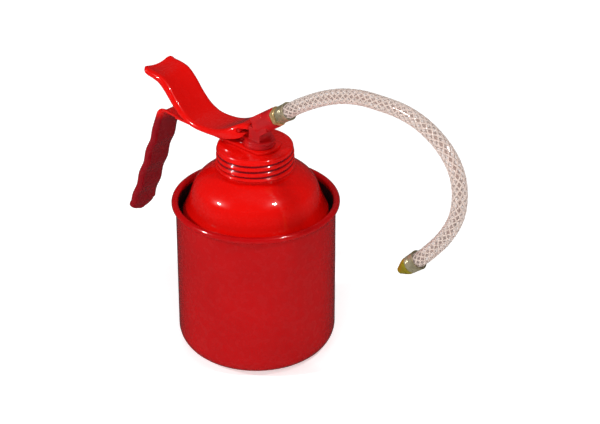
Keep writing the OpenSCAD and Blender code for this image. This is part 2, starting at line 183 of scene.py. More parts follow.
def enamel(name, color, chips=None, dust=0.03, peel=0.000012, rough=(0.2, 0.32), strip=None):
    """Glossy sprayed enamel: orange peel, slow colour drift, dust, and chips, or a fade up to RED by zone
    that paints shade on the darker part below it.
    """
    m = Mat(name, color, 0.25, Coat_Weight=1.0, Coat_Roughness=0.035, Coat_IOR=1.5,
            Specular_IOR_Level=0.15)
    drift = m.ramp(m.noise(30, 2), 0.35, 0.65, 0, 0.35)
    m.tint(drift, [c * 0.78 for c in color])
    # painted shade: the darker base colour below the zone fades up to the full RED within it
    if strip:
        m.tint(m.zone(*strip), RED)
    speck = m.ramp(m.noise(1900, 1), 0.72, 0.78, 0, dust)
    m.tint(speck, (0.55, 0.45, 0.42))
    m.rough(m.ramp(m.noise(240, 4), 0.3, 0.7, *rough))
    m.bump(m.noise(420, 2), peel, 1.0, coat=True)
    if chips:
        axis, lo, hi, level = chips
        spot = m.ramp(m.noise(230, 5, roughness=0.65), level, level + 0.012)
        mask = m.math("MULTIPLY", spot, m.zone(axis, lo, hi))
        m.tint(mask, (0.20, 0.17, 0.16))
        m.bump(m.math("MULTIPLY", mask, value=-1.0), 0.00008)
    return m.m


RED = (0.74, 0.003, 0.0015)
# the can takes a darker red than the dome's RED: painted shade for the upright wall, which the lamps light
# less
body_painted_shade = enamel("body_painted_shade", (0.46, 0.0012, 0.0025), chips=("Z", 40, 14, 0.735))
paint_dome = enamel("paint_dome", RED)
paint_cap = enamel("paint_cap", RED, chips=("Z", 124, 120, 0.70))
paint_lever = enamel("paint_lever", RED, chips=("X", -74, -84, 0.70))
# a dark red for the cap's thread grooves: painted shade in the recesses
groove_painted_shade = enamel("groove_painted_shade", (0.20, 0.002, 0.006))
# the handle's enamel is a dark red with the full RED faded in above Z 127 mm: painted shade on the grip,
# which hangs below and faces away from the lamps
grip_painted_shade = enamel("grip_painted_shade", (0.27, 0.0015, 0.007), dust=0.0, peel=0.000012, strip=("Z", 127, 133))


def casting():
    """Enamel over a sand casting: uneven, with a duller coat."""
    m = Mat("paint_casting", (0.58, 0.003, 0.003), 0.4, Coat_Weight=0.55, Coat_Roughness=0.12,
            Specular_IOR_Level=0.25)
    m.tint(m.ramp(m.noise(120, 3), 0.4, 0.62, 0, 0.6), (0.36, 0.006, 0.010))
    m.rough(m.ramp(m.noise(500, 4), 0.3, 0.7, 0.34, 0.5))
    m.bump(m.noise(260, 4), 0.00012, coat=True)
    m.bump(m.noise(1400, 3), 0.00003)
    return m.m


def metal(name, color, dark, rough, stain=0.6, scale=(1, 1, 1), grain=2600, bump=0.000012,
          body=1.0):
    """Bare or plated metal: stretched tool marks, tarnish in patches, uneven gloss."""
    m = Mat(name, color, rough[0], body)
    m.tint(m.ramp(m.noise(210, 4), 0.42, 0.66, 0, stain), dark)
    m.rough(m.ramp(m.noise(520, 4), 0.3, 0.7, *rough))
    m.bump(m.noise(grain, 2, vector=m.scaled(scale)), bump)
    return m.m


def gutter():
    """The trough behind the rim and the can's inner wall: painted shade, a mottled near-black on the tin
    where light doesn't reach.
    """
    m = Mat("gutter_painted_shade", (0.022, 0.010, 0.012), 0.5)
    m.tint(m.ramp(m.noise(180, 4), 0.42, 0.66, 0, 0.6), (0.05, 0.010, 0.012))
    m.rough(m.ramp(m.noise(420, 4), 0.3, 0.7, 0.35, 0.65))
    m.bump(m.noise(700, 3), 0.00005)
    return m.m


paint_cast, gutter_painted_shade = casting(), gutter()
zinc = metal("zinc_plate", (0.62, 0.61, 0.58), (0.36, 0.35, 0.33), (0.22, 0.42))
ground = metal("ground_steel", (0.66, 0.66, 0.66), (0.45, 0.45, 0.45), (0.14, 0.28), 0.3, (1, 1, 14))
brass = metal("turned_brass", (0.72, 0.50, 0.17), (0.42, 0.29, 0.10), (0.2, 0.38), 0.5, (1, 1, 10))
olive = metal("olive_plate", (0.52, 0.46, 0.30), (0.26, 0.22, 0.12), (0.24, 0.46), 0.8, body=0.55)
nut_olive = metal("olive_brass", (0.70, 0.50, 0.22), (0.36, 0.20, 0.08), (0.24, 0.44), 0.75, body=0.55)
cone_brass = metal("cone_brass", (0.46, 0.37, 0.02), (0.32, 0.25, 0.02), (0.22, 0.36), 0.6, body=0.5)


def rubber():
    m = Mat("nitrile", (0.022, 0.022, 0.024), 0.6)
    m.tint(m.ramp(m.noise(160, 4), 0.45, 0.7, 0, 0.4), (0.06, 0.055, 0.05))
    m.rough(m.ramp(m.noise(700, 3), 0.3, 0.7, 0.5, 0.72))
    m.bump(m.noise(1500, 3), 0.00003)
    return m.m


def clear_skin():
    m = Mat("clear_pvc", (0.84, 0.66, 0.60), 0.1, Alpha=0.16, Coat_Weight=1.0,
            Coat_Roughness=0.05, Specular_IOR_Level=0.8)
    m.tint(m.ramp(m.noise(90, 3), 0.4, 0.66, 0, 0.5), (0.80, 0.70, 0.64))
    m.bump(m.noise(260, 3), 0.00010, coat=True)
    return m.m


def inner_wall():
    m = Mat("pvc_inner", (0.70, 0.50, 0.45), 0.3, Alpha=0.16)
    m.tint(m.ramp(m.noise(70, 4), 0.38, 0.64, 0, 0.7), (0.62, 0.45, 0.37))
    m.bump(m.noise(420, 2), 0.00005)
    return m.m


def yarn():
    m = Mat("braid_yarn", (0.78, 0.66, 0.59), 0.28, Sheen_Weight=0.3, Coat_Weight=0.5,
            Coat_Roughness=0.12)
    m.tint(m.ramp(m.noise(260, 4), 0.4, 0.65, 0, 0.55), (0.74, 0.60, 0.52))
    m.rough(m.ramp(m.noise(900, 3), 0.3, 0.7, 0.22, 0.42))
    m.bump(m.noise(2600, 2), 0.00002)
    return m.m


# A brown core rod down the middle of the hose's bore, seen through the clear wall as a brown line along the
# hose.
def brown_core():
    m = Mat("brown_bore_core", (0.26, 0.075, 0.02), 0.25, Coat_Weight=0.6)
    m.tint(m.ramp(m.noise(150, 4), 0.42, 0.6, 0, 0.8), (0.11, 0.04, 0.02))
    m.bump(m.noise(600, 3), 0.00005)
    return m.m


nitrile = rubber()
skin_mat, liner_mat, yarn_mat, bore_mat = clear_skin(), inner_wall(), yarn(), brown_core()

for names, mat in (
        (("head_washer", "head_nut", "suction_tube"), zinc),
        (("piston_rod", "inlet_ball", "ball_stop", "outlet_ball"), ground),
        (("piston", "barrel", "foot_valve", "strainer", "outlet_seat"), brass),
        (("cap_gasket", "rod_seal", "piston_cup"), nitrile),
        (("gland_nut", "link_pin"), paint_cast)):
    for name in names:
        for material_slot in nodes[name].material_slots:
            material_slot.material = mat

# ---- mesh helpers ---------------------------------------------------------------


def solid(name, verts, faces, place=None):
    """A closed mesh in millimetres, as building material for booleans."""
    pts = [Vector(v) for v in verts]
    if place is not None:
        pts = [place @ p for p in pts]
    mesh = bpy.data.meshes.new(name)
    mesh.from_pydata(pts, [], faces)
    bm = bmesh.new()
    bm.from_mesh(mesh)
    bmesh.ops.remove_doubles(bm, verts=bm.verts, dist=2e-3)
    bmesh.ops.dissolve_degenerate(bm, edges=bm.edges, dist=1e-4)
    bmesh.ops.recalc_face_normals(bm, faces=bm.faces)
    bm.to_mesh(mesh)
    bm.free()
    ob = bpy.data.objects.new(name, mesh)
    bpy.context.scene.collection.objects.link(ob)
    return ob


def finished(ob, mat, body, replaced=(), sharp=38):
    """Takes a solid to metres, gives it its finish and its body."""
    ob.data.transform(Matrix.Scale(MM, 4))
    ob.data.polygons.foreach_set("use_smooth", [True] * len(ob.data.polygons))
    ob.data.set_sharp_from_angle(angle=math.radians(sharp))
    ob.data.materials.clear()
    ob.data.materials.append(mat)
    if replaced:
        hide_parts(*replaced)
    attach(ob, body)
    return ob


def piece(name, verts, faces, mat, body, slot, replaced=(), sharp=38, place=None):
    return finished(solid(name, verts, faces, place), mat, body, replaced, sharp)


def grid_faces(m, n, close_m=False, close_n=True):
    rows = m if close_m else m - 1
    cols = n if close_n else n - 1
    return [(i * n + j, i * n + (j + 1) % n, ((i + 1) % m) * n + (j + 1) % n, ((i + 1) % m) * n + j)
            for i in range(rows) for j in range(cols)]


def revolve(outline, segments=192):
    """Verts and faces of a closed (r, z) outline turned about Z. outline may be a function of the angle."""
    verts = []
    for i in range(segments):
        a = 2 * math.pi * i / segments
        pts = outline(a) if callable(outline) else outline
        verts += [(max(r, 0) * math.cos(a), max(r, 0) * math.sin(a), z) for r, z in pts]
    n = len(pts)
    on_axis = [r < 1e-6 for r, z in pts]
    faces = grid_faces(segments, n, close_m=True)
    return verts, [f for f in faces if not (on_axis[f[0] % n] and on_axis[f[1] % n])]


def arc(cx, cz, r, a0, a1, n):
    """Points on an arc in the (r, z) plane, angles in degrees."""
    return [(cx + r * math.cos(math.radians(a0 + (a1 - a0) * i / n)),
             cz + r * math.sin(math.radians(a0 + (a1 - a0) * i / n))) for i in range(n + 1)]


def sheet_outline(path, t, round_start=True, round_end=True):
    """The closed outline of pressed sheet of thickness t whose middle follows path."""
    p = [Vector((a, b)) for a, b in path]
    left, flat = [], []
    for i, q in enumerate(p):
        d = (p[min(i + 1, len(p) - 1)] - p[max(i - 1, 0)]).normalized()
        n = Vector((-d.y, d.x))
        left.append(q + n * t / 2)
        flat.append(q - n * t / 2)

    def cap(i, sign):
        d = (p[1] - p[0] if i == 0 else p[-1] - p[-2]).normalized() * sign
        n = Vector((-d.y, d.x))
        return [p[i] + d * (t / 2 * math.sin(k * math.pi / 6)) + n * (t / 2 * math.cos(k * math.pi / 6))
                for k in range(1, 6)]

    out = left + (cap(-1, 1) if round_end else []) + flat[::-1] + (cap(0, -1) if round_start else [])
    return [(v.x, v.y) for v in out]


def catmull(rows, n):
    out = []
    m = len(rows) - 1
    for i in range(m):
        a, b, c, d = (np.array(rows[max(min(k, m), 0)], float) for k in (i - 1, i, i + 1, i + 2))
        for k in range(n):
            u = k / n
            out.append(0.5 * (2 * b + (c - a) * u + (2 * a - 5 * b + 4 * c - d) * u * u
                              + (3 * b - a - 3 * c + d) * u ** 3))
    out.append(np.array(rows[m], float))
    return out


def boolean(ob, verts, faces, place=None, operation="DIFFERENCE"):
    cutter = solid("cutter", verts, faces, place)
    mod = ob.modifiers.new("cut", "BOOLEAN")
    mod.object = cutter
    mod.operation = operation
    mod.solver = "EXACT"
    mod.use_self = operation == "UNION"
    bake(ob)
    bpy.data.objects.remove(cutter)


def bake(ob):
    """Applies every modifier to the mesh, so what is left is plain geometry."""
    deps = bpy.context.evaluated_depsgraph_get()
    mesh = bpy.data.meshes.new_from_object(ob.evaluated_get(deps))
    old = ob.data
    ob.modifiers.clear()
    ob.data = mesh
    bpy.data.meshes.remove(old)
    mesh.name = ob.name


def cylinder(r, z0, z1, n=64, place=None, chamfer=0.0):
    pts = [(0, z0), (r - chamfer, z0), (r, z0 + chamfer), (r, z1 - chamfer), (r - chamfer, z1), (0, z1)]
    v, f = revolve(pts, n)
    return [place @ Vector(p) for p in v] if place is not None else v, f


def joined(parts):
    verts, faces = [], []
    for v, f in parts:
        k = len(verts)
        verts += [tuple(p) for p in v]
        faces += [tuple(i + k for i in q) for q in f]
    return verts, faces


ON_BOSS = (Matrix.Translation((BOSS_END[0], 0, BOSS_END[1]))
           @ Matrix.Rotation(math.radians(90 - BOSS_RISE), 4, "Y"))
tip_unit = TIP_DIR.normalized()
ON_TIP = (Matrix.Translation(HOSE[-1]) @ Matrix.Rotation(math.atan2(tip_unit.y, tip_unit.x), 4, "Z")
          @ Matrix.Rotation(math.acos(tip_unit.z), 4, "Y"))


def on_rod(z=0):
    return Matrix.Translation((ROD_X, 0, z))


# ---- the hose -------------------------------------------------------------------
route = [Vector(p) for p in catmull(HOSE, 24)]
lengths = [0.0]
for a, b in zip(route, route[1:]):
    lengths.append(lengths[-1] + (b - a).length)
HOSE_LEN = lengths[-1]


def frames(points):
    """A frame at each point that doesn't spin about the line."""
    out = []
    side = Vector((0, 1, 0))
    for i, p in enumerate(points):
        t = (points[min(i + 1, len(points) - 1)] - points[max(i - 1, 0)]).normalized()
        side = (side - t * side.dot(t)).normalized()
        out.append((p, side, t.cross(side)))
    return out


def at_length(s):
    s = min(max(s, 0), HOSE_LEN)
    i = min(max(int(np.searchsorted(lengths, s)) - 1, 0), len(route) - 2)
    u = (s - lengths[i]) / (lengths[i + 1] - lengths[i])
    return route[i].lerp(route[i + 1], u)


def even_route(step):
    n = int(round(HOSE_LEN / step))
    return [at_length(HOSE_LEN * i / n) for i in range(n + 1)]


def hose_shell(outer, inner, step, sides=40):
    """A closed tube round the route with an open bore."""
    fr = frames(even_route(step))
    angles = [2 * math.pi * k / sides for k in range(sides)]
    ring = lambda p, u, v, r: [p + (u * math.cos(a) + v * math.sin(a)) * r for a in angles]
    rows = [ring(*f, outer) for f in fr]
    if inner:
        rows += [ring(*f, inner) for f in fr[::-1]]
        return [p for r in rows for p in r], grid_faces(len(rows), sides, close_m=True)
    faces = grid_faces(len(rows), sides)
    verts = [p for r in rows for p in r] + [fr[0][0], fr[-1][0]]
    a, b = len(verts) - 2, len(verts) - 1
    last = (len(rows) - 1) * sides
    faces += [(a, (k + 1) % sides, k) for k in range(sides)]
    faces += [(b, last + k, last + (k + 1) % sides) for k in range(sides)]
    return verts, faces


CARRIERS, LEAD, YARNS = 8, 36.0, 2


def braid(radius):
    """Two sets of flat yarn bundles, wound each way and woven over and under each other."""
    step = 0.75
    fr = frames(even_route(step))
    n = len(fr)
    verts, faces = [], []
    yarn_w, yarn_t, sides = 0.46, 0.16, 5
    for way in (1, -1):
        for c in range(CARRIERS):
            for y in range(YARNS):
                base = len(verts)
                shift = (y - (YARNS - 1) / 2) * yarn_w * 0.92 / radius
                for i, (p, u, v) in enumerate(fr):
                    s = HOSE_LEN * i / (n - 1)
                    a = way * 2 * math.pi * s / LEAD + 2 * math.pi * c / CARRIERS + shift * way
                    lift = way * 0.13 * math.cos(2 * math.pi * CARRIERS * s / LEAD)
                    radial = u * math.cos(a) + v * math.sin(a)
                    across = v * math.cos(a) - u * math.sin(a)
                    mid = p + radial * (radius + lift)
                    for k in range(sides):
                        w = 2 * math.pi * (k + 0.5) / sides
                        verts.append(mid + across * (math.cos(w) * yarn_w / 2 * 1.2)
                                     + radial * (math.sin(w) * yarn_t))
                faces += [tuple(base + q for q in f) for f in grid_faces(n, sides)]
                faces.append(tuple(base + k for k in range(sides)))
                faces.append(tuple(base + (n - 1) * sides + k for k in reversed(range(sides))))
    return verts, faces


skin = piece("hose_skin", *hose_shell(HOSE_D / 2, HOSE_D / 2 - 0.12, 1.5), skin_mat,
             "head", "clear_pvc", ("hose",))
weave = piece("hose_braid", *braid(HOSE_D / 2 - 0.45), yarn_mat, "head", "clear_pvc")
liner = piece("hose_liner", *hose_shell(HOSE_D / 2 - 0.78, 1.6, 1.5), liner_mat, "head", "clear_pvc")
bore = piece("hose_bore", *hose_shell(1.05, 0.0, 1.5, 16), bore_mat, "head", "clear_pvc")


def hex_ring(af, hole, z0, z1, bevel=25.0, chamfer_low=True, chamfer_high=True):
    """A hexagon with a hole and turned chamfers on its corners."""
    circle = af / 2 * 0.97

    def outline(a):
        deg = math.degrees(a) % 60 - 30
        r = af / 2 / math.cos(math.radians(deg))
        drop = max(0.0, (r - circle) * math.tan(math.radians(bevel)))
        lo, hi = z0 + (drop if chamfer_low else 0), z1 - (drop if chamfer_high else 0)
        return [(hole + 0.15, z0), (circle, z0), (r - 0.12, lo), (r, lo + 0.1), (r, hi - 0.1),
                (r - 0.12, hi), (circle, z1), (hole + 0.15, z1), (hole, z1 - 0.15), (hole, z0 + 0.15)]

    return revolve(outline, 180)


lock_thread = revolve([(2, -5), (3.7, -5), (4, -4.6), (4, 0.4), (2, 0.4)], 64)
piece("locking_nut", *joined([hex_ring(10.2, 2, 0.0, 3.45), lock_thread]),
      nut_olive, "head", "passivated_brass", ("lock_nut",), place=ON_BOSS)


def cup_outline(z_mouth, base, r_hex, r_mouth, sign):
    """The crimped cup that grips the hose: from its hex end to its mouth, with two rolled grooves."""
    inner = HOSE_D / 2 + 0.1
    z = lambda t: base + sign * t
    length = abs(z_mouth - base)
    out = [(2.0, z(0)), (r_hex - 0.25, z(0)), (r_hex, z(0.25))]
    for i in range(1, 24):
        t = 0.25 + (length - 0.25) * i / 24
        groove = sum(-0.24 * math.exp(-((t - g) / 0.28) ** 2) for g in (1.7, 3.1))
        out.append((r_hex + (r_mouth - r_hex) * (t / length) ** 1.5 + groove, z(t)))
    out += [(r_mouth + 0.02, z(length - 0.12)), (r_mouth - 0.1, z(length)), (inner + 0.18, z(length)),
            (inner, z(length - 0.15)), (inner, z(1.0)), (1.5, z(1.0)), (1.5, z(0))]
    return out


head_cup_turned = revolve(cup_outline(12.0, 6.5, 5.2, 5.5, 1), 128)
piece("head_cup", *joined([hex_ring(9, 1.5, 3.6, 6.7), head_cup_turned]),
      olive, "head", "passivated_brass", ("head_ferrule",), place=ON_BOSS)
tip_cup = piece("tip_cup", *revolve(cup_outline(-5.5, 1.5, 5.2, 5.7, -1), 128),
                olive, "head", "passivated_brass", ("tip_ferrule",), place=ON_TIP)
cone = [(1.2, 1.5), (4.7, 1.5), (4.9, 1.7), (4.9, 3.7)]
cone += [(4.9 - 2.75 * (i / 12) ** 1.25, 3.7 + 6.6 * i / 12) for i in range(1, 13)]
cone += arc(1.55, 10.35, 0.62, 15, 90, 5) + [(1.25, 10.9), (1.2, 10.7)]
nozzle = piece("nozzle_cone", *revolve(cone, 128), cone_brass, "head", "brass", ("nozzle_tip",), place=ON_TIP)

# ---- can ------------------------------------------------------------------------
mid = SHEET / 2
wall = [(0, mid)] + [(r, mid) for r in np.linspace(4, CAN_R - CORNER, 8)]
wall += arc(CAN_R - CORNER, CORNER, CORNER - mid, -88, 0, 20)
wall += [(CAN_R - mid, z) for z in (30, 50, 70, 86, 91, 92.6)]
rim = arc(CAN_R + 0.5, RIM_Z, 1.6, 196, -96, 26)
can_path = wall + [(CAN_R - mid - 0.25, 94.0)] + rim
# the can's outer wall and rim in the darker red: painted shade
can = piece("can_shell", *revolve(sheet_outline(can_path, SHEET, round_start=False), 256), body_painted_shade,
            "can", "gloss_red", ("can_body",), sharp=50)


def second_finish(ob, mat, where):
    """Gives the faces whose middle (r, z) in millimetres passes the test a second finish."""
    ob.data.materials.append(mat)
    for f in ob.data.polygons:
        c = f.center / MM
        if where(math.hypot(c.x, c.y), c.z):
            f.material_index = 1


# the can's inner wall above the base corner gets the near-black painted shade
second_finish(can, gutter_painted_shade, lambda r, z: r < CAN_R - 0.5 and CORNER + 2 < z < RIM_Z - 1.4)
neck_u = math.asin(NECK_R / DOME_R)
flare_u = math.radians(70)
crown = [(DOME_R * math.sin(u), DOME_Z + DOME_RISE * math.cos(u))
         for u in np.linspace(neck_u, flare_u, 36)]
turn_pts = (crown[-1], (crown[-1][0] + 1.7, crown[-1][1] - 2.4),
            (DOME_R + 0.7, DOME_Z - 2.8), (EDGE_R, EDGE_Z))


def bezier(p, t):
    w = ((1 - t) ** 3, 3 * t * (1 - t) ** 2, 3 * t * t * (1 - t), t ** 3)
    return tuple(sum(c * q[i] for c, q in zip(w, p)) for i in (0, 1))


flare = [bezier(turn_pts, i / 24) for i in range(1, 25)]
skirt = [(EDGE_R, EDGE_Z - 1.5), (EDGE_R, GUTTER_Z + 1.4)]
skirt += arc(EDGE_R + 1.2, GUTTER_Z + 1.2, 1.2, 180, 270, 6)[1:]
skirt += [(CAN_R - SHEET - 0.05, GUTTER_Z)]
top_path = [(r - mid * 0.8, z - mid * 0.6) for r, z in crown + flare + skirt]
top_path[-1] = (CAN_R - SHEET - 0.05, GUTTER_Z - mid * 0.6 + 0.3)
dome = piece("dome_shell", *revolve(sheet_outline(top_path, SHEET, False, False), 256), paint_dome,
             "can", "gloss_red", ("dome",), sharp=50)
# the dome's skirt down into the trough, its foot and its middle under the neck get the near-black painted
# shade
second_finish(dome, gutter_painted_shade, lambda r, z: z < EDGE_Z - 0.9 or r < 20.1 or (r > EDGE_R + 0.3))


def thread_r(z, a, soft=1.7):
    """Radius of the rolled thread: broad rounded ridges with narrow grooves."""
    fade = min(1.0, max(0.0, (CAP_TOP - 1.6 - z) / 1.2))
    c = math.cos(2 * math.pi * (z - CAP_TOP) / PITCH - a + math.radians(150))
    shaped = 1 - 2 * ((1 - c) / 2) ** soft
    return CAP_R + 0.03 * (CAP_TOP - z) + RIDGE * fade * shaped


def neck_outline(a):
    zs = np.linspace(NECK_Z0, NECK_TOP - 0.3, 70)
    gap = SHEET + 0.3
    inner = CAP_R - gap - RIDGE - 0.6
    out = [(thread_r(z, a, 1.0) - gap, z) for z in zs]
    return out + [(out[-1][0] - 0.25, NECK_TOP), (inner + 0.2, NECK_TOP),
                  (inner, NECK_TOP - 0.2), (inner, NECK_Z0)]


piece("neck_thread", *revolve(neck_outline, 160), paint_dome, "can", "gloss_red", ("neck_collar",))


def cap_outline(a):
    hole = SHANK_R + 0.05
    lip = [(CAP_R + 0.25, CAP_Z0), (CAP_R + 0.75, CAP_Z0 + 0.02), (CAP_R + 1.12, CAP_Z0 + 0.25),
           (CAP_R + 1.25, CAP_Z0 + 0.7), (CAP_R + 1.12, CAP_Z0 + 1.1), (CAP_R + 0.85, CAP_Z0 + 1.35)]
    out = [(thread_r(z, a), z) for z in np.linspace(CAP_Z0 + 1.7, CAP_TOP - 1.5, 84)]
    r_top = out[-1][0]
    crest = [(r_top - 1.3 + 1.3 * math.cos(t), CAP_TOP - 1.3 + 1.3 * math.sin(t))
             for t in np.linspace(0.15, 1.57, 9)]
    under = [(thread_r(z, a) - SHEET, z) for z in np.linspace(CAP_TOP - 1.5, CAP_Z0 + 0.4, 60)]
    inner = [(4.0, CAP_TOP - SHEET), (r_top - 2.2, CAP_TOP - SHEET)]
    return lip + out + crest + [(4.0, CAP_TOP)] + inner + under


cap = solid("cap_shell", *revolve(cap_outline, 224))
boolean(cap, *cylinder(6, CAP_TOP - SHEET, CAP_TOP), operation="UNION")
boolean(cap, *cylinder(SHANK_R + 0.05, CAP_TOP - 4, CAP_TOP + 3), place=on_rod())
finished(cap, paint_cap, "head", ("screw_cap",))
# the narrow grooves between the thread's ridges get the dark red: painted shade
second_finish(cap, groove_painted_shade, lambda r, z: CAP_R - 0.75 < r < CAP_R - 0.12 + 0.03 * (CAP_TOP - z)
              and CAP_Z0 + 1.4 < z < CAP_TOP - 2.6)

# ---- pressed strips: lever and handle -----------------------------------------------


def channel(w, d, t, dish):
    """Outer and inner points of a pressed channel's section, edge to edge, with rounded edges."""
    r = min(2.6, d - 0.2)
    q = max(r - t, 0.3)
    d = d - t / 2
    outer, inner = [], []
    for f in (0.0, 0.5, 1.0):
        z = -d + (d - r) * f
        outer.append((w, z))
        inner.append((w - t, z if f < 1 else max(z, -t - q)))
    for k in range(1, 9):
        a = math.radians(90 * k / 8)
        outer.append((w - r + r * math.cos(a), -r + r * math.sin(a)))
        inner.append((w - t - q + q * math.cos(a), -t - q + q * math.sin(a)))
    for f in np.linspace(0.86, 0, 8):
        sag = dish * (1 - f * f)
        outer.append(((w - r) * f, -sag))
        inner.append(((w - t - q) * f, -t - sag))
    edge_mid, half = (w - t / 2, -d), t / 2
    edge_o, edge_i = [], []
    for k in (90, 60, 30):
        a = math.radians(k)
        drop = -half * math.sin(a)
        edge_o.append((edge_mid[0] + half * math.cos(a), edge_mid[1] + drop))
        edge_i.append((edge_mid[0] - half * math.cos(a), edge_mid[1] + drop))
    outer, inner = edge_o + outer, edge_i + inner
    mirror = lambda pts: [(-x, z) for x, z in pts[:-1]]
    return mirror(outer) + outer[::-1], mirror(inner) + inner[::-1]


def pressed(rows, t, flip, end_shape=None):
    """Sweeps the channel along rows of (x, z, half width, depth, dish) and rounds both ends."""
    m = len(rows)
    dirs = []
    for i in range(m):
        a, b = rows[max(i - 1, 0)], rows[min(i + 1, m - 1)]
        d = Vector((b[0] - a[0], 0, b[1] - a[1])).normalized()
        dirs.append(d)
    stations = []
    for k in (90, 60, 30):
        a = math.radians(k)
        stations.append((0, -t / 2 * math.sin(a) + t / 2, math.cos(a)))
    stations = [(0, off - t / 2, f) for _, off, f in stations] + [(i, 0, 1.0) for i in range(m)]
    stations += [(m - 1, t / 2 * math.sin(math.radians(k)), math.cos(math.radians(k))) for k in (30, 60, 90)]
    verts = []
    for i, off, f in stations:
        r, d = rows[i], dirs[i]
        normal = Vector((flip * d.z, 0, -flip * d.x))
        o, n = channel(r[2], r[3], t, r[4])
        pairs = [((a[0] + b[0]) / 2, (a[1] + b[1]) / 2, a, b) for a, b in zip(o, n)]
        ring = [(mx + (a[0] - mx) * f, mz + (a[1] - mz) * f) for mx, mz, a, b in pairs]
        ring += [(mx + (b[0] - mx) * f, mz + (b[1] - mz) * f) for mx, mz, a, b in reversed(pairs)]
        base = Vector((r[0], 0, r[1])) + d * off
        for y, h in ring:
            v = base + normal * h + Vector((0, y, 0))
            if end_shape:
                v += end_shape(i, y / r[2])
            verts.append(v)
    n = len(verts) // len(stations)
    return verts, grid_faces(len(stations), n)


lever_rows = [(r[0], PLATE_Z + r[1], r[2], r[3], r[4]) for r in catmull(LEVER, 6)]
lever_n = len(lever_rows)


def thumb_end(i, across):
    near = max(0.0, (i - (lever_n - 9)) / 8)
    corner = max(0.0, (min(abs(across), 1) - 0.62) / 0.38) ** 2
    return Vector(((2.2 * (1 - min(abs(across), 1) ** 2) + 3.6 * corner) * near ** 1.5, 0, 0))


lever = solid("lever_plate", *pressed(lever_rows, LEVER_T, 1, thumb_end))
slot_r = PIN_R + 0.3
slot_profile = [(ROD_X + 9.5, PIN_Z + slot_r), (ROD_X + 9.5, PIN_Z - slot_r)]
slot_profile = [(x, z) for x, z in slot_profile] + arc(ROD_X, PIN_Z, slot_r, 270, 90, 20)
slot_verts = [(x, y, z) for y in (-12, 12) for x, z in slot_profile]
k = len(slot_profile)
slot_faces = [tuple(range(k)), tuple(range(2 * k - 1, k - 1, -1))]
slot_faces += [(i, k + i, k + (i + 1) % k, (i + 1) % k) for i in range(k)]
boolean(lever, slot_verts, slot_faces)
finished(lever, paint_lever, "thumb_lever", ("lever",), 45)

BEND_X, BEND_R, GRIP_W, WAVE, TAIL = -65.5, 5.0, 9.6, 1.0, 5
lean = math.radians(90 - GRIP_LEAN)


def grip_row(s):
    x0 = BEND_X - BEND_R * math.sin(lean)
    z0 = CAP_TOP - BEND_R + BEND_R * math.cos(lean)
    wave = WAVE * (0.5 - 0.5 * math.cos(2 * math.pi * (s - 12) / 19.5)) if 12 < s < 78 else 0.0
    into_tail = max(0.0, s - GRIP_LEN + TAIL)
    tail = math.sqrt(max(0.1, 1 - (into_tail / TAIL) ** 2))
    return (x0 - s * math.cos(lean) + wave * math.sin(lean), z0 - s * math.sin(lean) - wave * math.cos(lean),
            GRIP_W * tail, 4 * (0.4 + 0.6 * tail), 0)


handle_rows = [(-56 + i * (BEND_X + 56) / 8, CAP_TOP, STRIP_W / 2, STRIP_T + 0.3 + i * 0.1, 0)
               for i in range(8)]
for i in range(1, 13):
    a = lean * i / 12
    handle_rows.append((BEND_X - BEND_R * math.sin(a), CAP_TOP - BEND_R + BEND_R * math.cos(a),
                        STRIP_W / 2 + (GRIP_W - STRIP_W / 2) * i / 12, 2.7 + 1.3 * i / 12, 0))
handle_rows += [grip_row(s) for s in np.arange(1.5, GRIP_LEN - 9, 1.0)]
handle_rows += [grip_row(GRIP_LEN - s) for s in (8, 7, 6, 5, 4, 3, 2.2, 1.5, 0.9, 0.45, 0.1)]
handle = solid("handle_grip", *pressed(handle_rows, STRIP_T, -1))

# the flat strip that runs under the lever and over the cap
half_w, end_r, edge = STRIP_W / 2, 15.5, 0.3
corner = math.degrees(math.asin(half_w / end_r))
plan = [(-57, -half_w), (end_r * math.cos(math.radians(corner)), -half_w)]
plan += [(x, y) for x, y in arc(0, 0, end_r, -corner, corner, 28)[1:-1]]
plan += [(end_r * math.cos(math.radians(corner)), half_w), (-57, half_w)]


def shrunk(f):
    return [(x - f * x / end_r if x > 0 else x, y * (1 - f / half_w)) for x, y in plan]


levels = [(edge, 0), (0.08, 0.1), (0, edge), (0, STRIP_T - edge), (0.08, STRIP_T - 0.1), (edge, STRIP_T)]
strip_verts = [(x, y, CAP_TOP + z) for f, z in levels for x, y in shrunk(f)]
k = len(plan)
strip_faces = grid_faces(len(levels), k)
strip_faces += [tuple(range(k)), tuple((len(levels) - 1) * k + i for i in range(k))]
strip = solid("strip", strip_verts, strip_faces)
boolean(strip, *cylinder(SHANK_R + 0.05, CAP_TOP - 1, PLATE_Z + 1), place=on_rod())
strip_mesh = [v.co.copy() for v in strip.data.vertices], [tuple(f.vertices) for f in strip.data.polygons]
bpy.data.objects.remove(strip)
boolean(handle, *strip_mesh, operation="UNION")
bead_place = Matrix.Translation((-36, 0, PLATE_Z - 0.35)) @ Matrix.Rotation(math.radians(90), 4, "X")
bead_pts = [(0, -9)] + arc(0, -7.8, 1.2, -88, 0, 6) + arc(0, 7.8, 1.2, 0, 88, 6) + [(0, 9)]
boolean(handle, *revolve(bead_pts, 40), place=bead_place, operation="UNION")
# the grip below Z 127 mm keeps the dark red: painted shade
finished(handle, grip_painted_shade, "head", ("handle",), 45)

# ---- pump head: one casting with softened joints ----------------------------------------


def block(x0, x1, y0, y1, z0, z1, place=None):
    v = [(x, y, z) for x in (x0, x1) for y in (y0, y1) for z in (z0, z1)]
    f = [(0, 1, 3, 2), (4, 6, 7, 5), (0, 4, 5, 1), (2, 3, 7, 6), (0, 2, 6, 4), (1, 5, 7, 3)]
    return ([place @ Vector(p) for p in v] if place is not None else v), f


